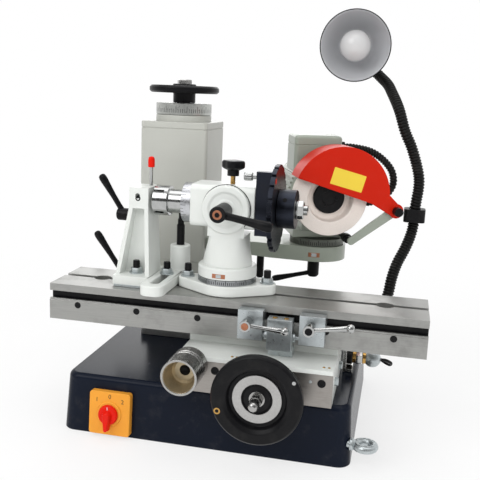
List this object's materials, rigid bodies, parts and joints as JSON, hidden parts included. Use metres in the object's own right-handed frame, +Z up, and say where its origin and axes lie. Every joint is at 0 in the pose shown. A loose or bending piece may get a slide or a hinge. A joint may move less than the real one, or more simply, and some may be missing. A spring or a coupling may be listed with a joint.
{
  "type": "end mill grinder",
  "caption": "Bench tool and cutter grinder: long table on a cross slide, swivelling workhead, tailstock, column with an arm and a guarded grinding head, gooseneck lamp",
  "frame": {"origin": "centre of the base casting's footprint, on its underside", "axes": "+X right along the table, +Y towards the back, +Z up"},
  "size_m": [0.6363, 0.4993, 0.7152],
  "materials": {
    "navy_paint": "glossy near-black enamel",
    "white_paint": "glossy white enamel on castings",
    "grey_paint": "satin grey-green enamel",
    "ground_steel": "ground steel",
    "zinc": "bright zinc plate",
    "chrome": "polished chrome",
    "engraved_aluminium": "satin aluminium with engraved lines",
    "black_steel": "blackened steel",
    "black_plastic": "black phenolic plastic",
    "black_hose": "black ribbed hose",
    "switch_orange": "orange-yellow plastic",
    "switch_red": "red plastic",
    "guard_red": "glossy red enamel",
    "abrasive": "pale pink vitrified abrasive",
    "shade_black": "black outside, silver inside",
    "bulb_glass": "opal glass"
  },
  "bodies": {
    "base": {"base": "navy_paint", "eye_bolt": "chrome", "switch_plate": "switch_orange", "bed": "ground_steel", "column_ram": "ground_steel", "lamp_fitting": "zinc", "gooseneck": "black_hose", "gooseneck_clip": "black_plastic", "lamp_shade": "shade_black", "lamp_bulb": "bulb_glass", "lamp_lead": "black_hose"},
    "switch_knob": {"switch_knob": "switch_red"},
    "saddle": {"saddle": "white_paint", "saddle_front_plate": "ground_steel", "stop_block": "zinc"},
    "cross_wheel": {"cross_handwheel": "black_plastic", "handwheel_dial": "engraved_aluminium", "cross_screw": "ground_steel"},
    "traverse_hub": {"traverse_hub": "chrome", "traverse_pinion": "ground_steel"},
    "table": {"table": "ground_steel", "table_rack": "ground_steel", "workhead_base": "white_paint", "swivel_ring": "ground_steel", "tailstock_body": "white_paint", "tooth_rest_arm": "white_paint"},
    "dog_left": {"dog_left": "zinc"},
    "dog_right": {"dog_right": "zinc"},
    "dog_lever_left": {"dog_lever_left": "chrome"},
    "dog_lever_right": {"dog_lever_right": "chrome"},
    "workhead_turret": {"workhead_pedestal": "white_paint"},
    "workhead_head": {"workhead_head": "white_paint", "index_housing": "black_steel"},
    "spindle": {"spindle": "chrome", "spindle_dial": "engraved_aluminium", "index_plate": "black_steel", "spindle_collar": "black_steel", "drawbar_nut": "black_steel"},
    "index_pin": {"index_pin": "black_steel"},
    "tilt_lever": {"tilt_lever": "black_plastic"},
    "star_knob": {"star_knob": "black_plastic"},
    "tailstock_quill": {"tailstock_quill": "ground_steel"},
    "quill_lever": {"quill_lever": "black_steel"},
    "tooth_rest_rod": {"tooth_rest_rod": "black_steel"},
    "column": {"column_housing": "grey_paint", "arm": "grey_paint", "arm_grip": "black_steel"},
    "elevating_wheel": {"column_dial": "ground_steel", "elevating_handwheel": "black_plastic", "elevating_screw": "ground_steel"},
    "column_lever_upper": {"column_lever_upper": "black_plastic"},
    "column_lever_lower": {"column_lever_lower": "black_plastic"},
    "arm_lever": {"arm_lever": "black_plastic"},
    "wheelhead": {"swivel_disc": "ground_steel", "motor": "grey_paint", "guard_bar": "black_plastic", "motor_conduit": "black_hose"},
    "wheel_guard": {"wheel_guard": "guard_red"},
    "grinding_wheel": {"wheel_flange": "black_steel", "grinding_wheel": "abrasive"}
  },
  "joints": [
    {"name": "switch_turn", "type": "hinge", "parent": "base", "child": "switch_knob", "pos_m": [-0.151, -0.19662, 0.041], "axis": [0, -0.9966, 0.0822], "range_deg": [-60, 60]},
    {"name": "cross_slide", "type": "slide", "parent": "base", "child": "saddle", "axis": [0, -1, 0], "range_m": [-0.02, 0.09]},
    {"name": "cross_wheel_turn", "type": "hinge", "parent": "saddle", "child": "cross_wheel", "pos_m": [0.0995, -0.2, 0.119], "axis": [0, -1, 0], "continuous": true},
    {"name": "table_traverse", "type": "slide", "parent": "saddle", "child": "table", "axis": [1, 0, 0], "range_m": [-0.15, 0.15]},
    {"name": "hub_turn", "type": "hinge", "parent": "saddle", "child": "traverse_hub", "pos_m": [-0.018, -0.2, 0.143], "axis": [0, 1, 0], "continuous": true},
    {"name": "dog_left_slide", "type": "slide", "parent": "table", "child": "dog_left", "axis": [1, 0, 0], "range_m": [-0.15, 0.15]},
    {"name": "dog_right_slide", "type": "slide", "parent": "table", "child": "dog_right", "axis": [1, 0, 0], "range_m": [-0.15, 0.15]},
    {"name": "dog_lever_left_turn", "type": "hinge", "parent": "dog_left", "child": "dog_lever_left", "pos_m": [0.068, -0.19, 0.215], "axis": [0, -1, 0], "range_deg": [0, 60]},
    {"name": "dog_lever_right_turn", "type": "hinge", "parent": "dog_right", "child": "dog_lever_right", "pos_m": [0.1654, -0.19, 0.2176], "axis": [0, -1, 0], "range_deg": [0, 60]},
    {"name": "workhead_swivel", "type": "hinge", "parent": "table", "child": "workhead_turret", "pos_m": [0.0113, -0.096, 0.265], "axis": [0, 0, -1], "range_deg": [-10, 45]},
    {"name": "head_tilt", "type": "hinge", "parent": "workhead_turret", "child": "workhead_head", "pos_m": [0.0145, -0.132, 0.38], "axis": [0, 1, 0], "range_deg": [-15, 15]},
    {"name": "spindle_turn", "type": "hinge", "parent": "workhead_head", "child": "spindle", "pos_m": [0, -0.096, 0.3817], "axis": [1, 0, 0], "continuous": true},
    {"name": "index_pin_slide", "type": "slide", "parent": "workhead_head", "child": "index_pin", "axis": [-1, 0, 0], "range_m": [0, 0.008]},
    {"name": "tilt_lever_turn", "type": "hinge", "parent": "workhead_turret", "child": "tilt_lever", "pos_m": [0.0145, -0.16, 0.38], "axis": [0, -1, 0], "range_deg": [-30, 60]},
    {"name": "star_knob_turn", "type": "hinge", "parent": "workhead_head", "child": "star_knob", "pos_m": [0.0152, -0.096, 0.44], "axis": [0, 0, 1], "range_deg": [0, 180]},
    {"name": "quill_slide", "type": "slide", "parent": "table", "child": "tailstock_quill", "axis": [-1, 0, 0], "range_m": [0, 0.012]},
    {"name": "quill_lever_turn", "type": "hinge", "parent": "table", "child": "quill_lever", "pos_m": [-0.1295, -0.082, 0.41], "axis": [0, 0, 1], "range_deg": [0, 90]},
    {"name": "tooth_rest_slide", "type": "slide", "parent": "table", "child": "tooth_rest_rod", "axis": [0, 0, 1], "range_m": [-0.02, 0.03]},
    {"name": "elevation", "type": "slide", "parent": "base", "child": "column", "axis": [0, 0, 1], "range_m": [-0.065, 0.085]},
    {"name": "elevating_wheel_turn", "type": "hinge", "parent": "column", "child": "elevating_wheel", "pos_m": [-0.127, 0.09, 0.53], "axis": [0, 0, 1], "continuous": true},
    {"name": "column_lever_upper_turn", "type": "hinge", "parent": "column", "child": "column_lever_upper", "pos_m": [-0.2, 0.06, 0.324], "axis": [1, 0, 0], "range_deg": [-60, 30]},
    {"name": "column_lever_lower_turn", "type": "hinge", "parent": "column", "child": "column_lever_lower", "pos_m": [-0.2, 0.06, 0.203], "axis": [1, 0, 0], "range_deg": [-60, 30]},
    {"name": "arm_lever_turn", "type": "hinge", "parent": "column", "child": "arm_lever", "pos_m": [0.135, 0.075, 0.25], "axis": [0, 0, 1], "range_deg": [-30, 60]},
    {"name": "wheelhead_swivel", "type": "hinge", "parent": "column", "child": "wheelhead", "pos_m": [0.1365, 0.09, 0.3], "axis": [0, 0, 1], "range_deg": [-20, 10]},
    {"name": "wheel_spin", "type": "hinge", "parent": "wheelhead", "child": "grinding_wheel", "pos_m": [0.1365, 0.09, 0.388], "axis": [0.342, -0.9397, 0], "continuous": true},
    {"name": "guard_swing", "type": "hinge", "parent": "wheelhead", "child": "wheel_guard", "pos_m": [0.27825, 0.03092, 0.3714], "axis": [0.342, -0.9397, 0], "range_deg": [-40, 0]}
  ],
  "couplings": [
    {"joint": "cross_wheel_turn", "follows": "cross_slide", "rad_per_m": 1256.6},
    {"joint": "hub_turn", "follows": "table_traverse", "rad_per_m": 58.824},
    {"joint": "dog_left_slide", "follows": "table_traverse", "ratio": -1},
    {"joint": "dog_right_slide", "follows": "table_traverse", "ratio": -1},
    {"joint": "elevating_wheel_turn", "follows": "elevation", "rad_per_m": 1256.6}
  ]
}
